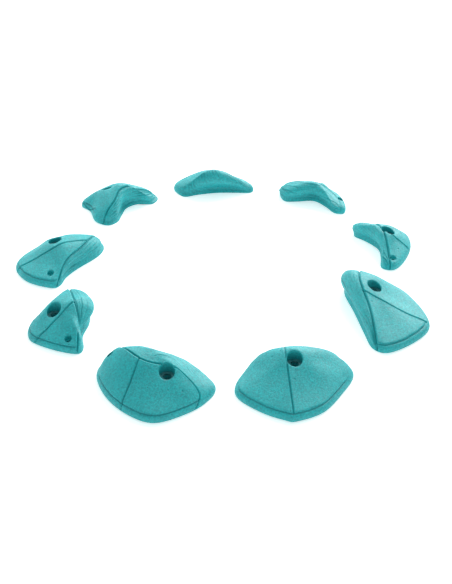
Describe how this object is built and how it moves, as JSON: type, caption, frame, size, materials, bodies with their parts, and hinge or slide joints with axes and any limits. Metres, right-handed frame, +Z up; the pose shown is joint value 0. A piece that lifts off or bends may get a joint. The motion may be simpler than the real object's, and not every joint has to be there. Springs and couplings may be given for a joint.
{
  "type": "climbing hold set",
  "caption": "Moulded climbing holds with a drilled bolt hole, a cast-in washer, smooth outer panels and a ribbed, hollowed gripping side, laid out in a ring on their flat back faces.",
  "frame": {"origin": "centre of the ring's bounding box, on the plane of the back faces", "axes": "+Z up out of the surface the holds lie on, along every bolt; +X to the right; +Y away from the front of the ring"},
  "size_m": [0.5913, 0.5846, 0.0482],
  "materials": {
    "hold_resin": "fine sandy texture, matte",
    "washer_steel": "plain zinc plated"
  },
  "bodies": {
    "hold_1": {"hold_1_body": "hold_resin", "hold_1_washer": "washer_steel"},
    "hold_2": {"hold_2_body": "hold_resin", "hold_2_washer": "washer_steel"},
    "hold_3": {"hold_3_body": "hold_resin", "hold_3_washer": "washer_steel"},
    "hold_4": {"hold_4_body": "hold_resin", "hold_4_washer": "washer_steel"},
    "hold_5": {"hold_5_body": "hold_resin", "hold_5_washer": "washer_steel"},
    "hold_6": {"hold_6_body": "hold_resin", "hold_6_washer": "washer_steel"},
    "hold_7": {"hold_7_body": "hold_resin", "hold_7_washer": "washer_steel"},
    "hold_8": {"hold_8_body": "hold_resin", "hold_8_washer": "washer_steel"},
    "hold_9": {"hold_9_body": "hold_resin", "hold_9_washer": "washer_steel"}
  },
  "joints": [
    {"name": "hold_1_lift", "type": "slide", "parent": "hold_6", "child": "hold_1", "axis": [0, 0, 1], "range_m": [0, 0.08]},
    {"name": "hold_2_lift", "type": "slide", "parent": "hold_6", "child": "hold_2", "axis": [0, 0, 1], "range_m": [0, 0.08]},
    {"name": "hold_3_lift", "type": "slide", "parent": "hold_6", "child": "hold_3", "axis": [0, 0, 1], "range_m": [0, 0.08]},
    {"name": "hold_4_lift", "type": "slide", "parent": "hold_6", "child": "hold_4", "axis": [0, 0, 1], "range_m": [0, 0.08]},
    {"name": "hold_5_lift", "type": "slide", "parent": "hold_6", "child": "hold_5", "axis": [0, 0, 1], "range_m": [0, 0.08]},
    {"name": "hold_7_lift", "type": "slide", "parent": "hold_6", "child": "hold_7", "axis": [0, 0, 1], "range_m": [0, 0.08]},
    {"name": "hold_8_lift", "type": "slide", "parent": "hold_6", "child": "hold_8", "axis": [0, 0, 1], "range_m": [0, 0.08]},
    {"name": "hold_9_lift", "type": "slide", "parent": "hold_6", "child": "hold_9", "axis": [0, 0, 1], "range_m": [0, 0.08]}
  ]
}
